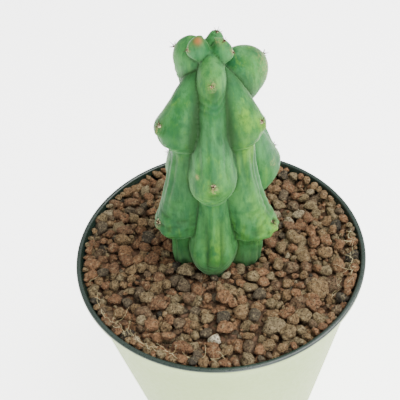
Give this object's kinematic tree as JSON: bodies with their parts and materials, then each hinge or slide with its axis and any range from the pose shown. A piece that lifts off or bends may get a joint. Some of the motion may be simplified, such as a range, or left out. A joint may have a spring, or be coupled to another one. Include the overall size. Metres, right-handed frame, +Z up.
{
  "type": "potted cactus",
  "caption": "Swollen-ribbed variegated columnar cactus standing in red lava grit in a round tapered plastic nursery pot.",
  "frame": {"origin": "centre of the pot's foot, on the surface that it stands on", "axes": "+Z up, along the pot's axis; -Y towards the stem's front rib, +X to the right of it"},
  "size_m": [0.105, 0.105, 0.1678],
  "materials": {
    "pot": "thin injection-moulded plastic, pale mint outside, dark green on the lip and inside",
    "potting_mix": "dark crumbly potting mix, mostly bark and peat",
    "lava_grit": "rough red-brown volcanic grit with a few grey and pale grains",
    "cactus": "waxy blue-green skin, mottled with yellow-green, soft sheen"
  },
  "bodies": {
    "root": {"pot": "pot", "potting_mix": "potting_mix", "lava_grit": "lava_grit", "cactus": "cactus"}
  },
  "joints": []
}
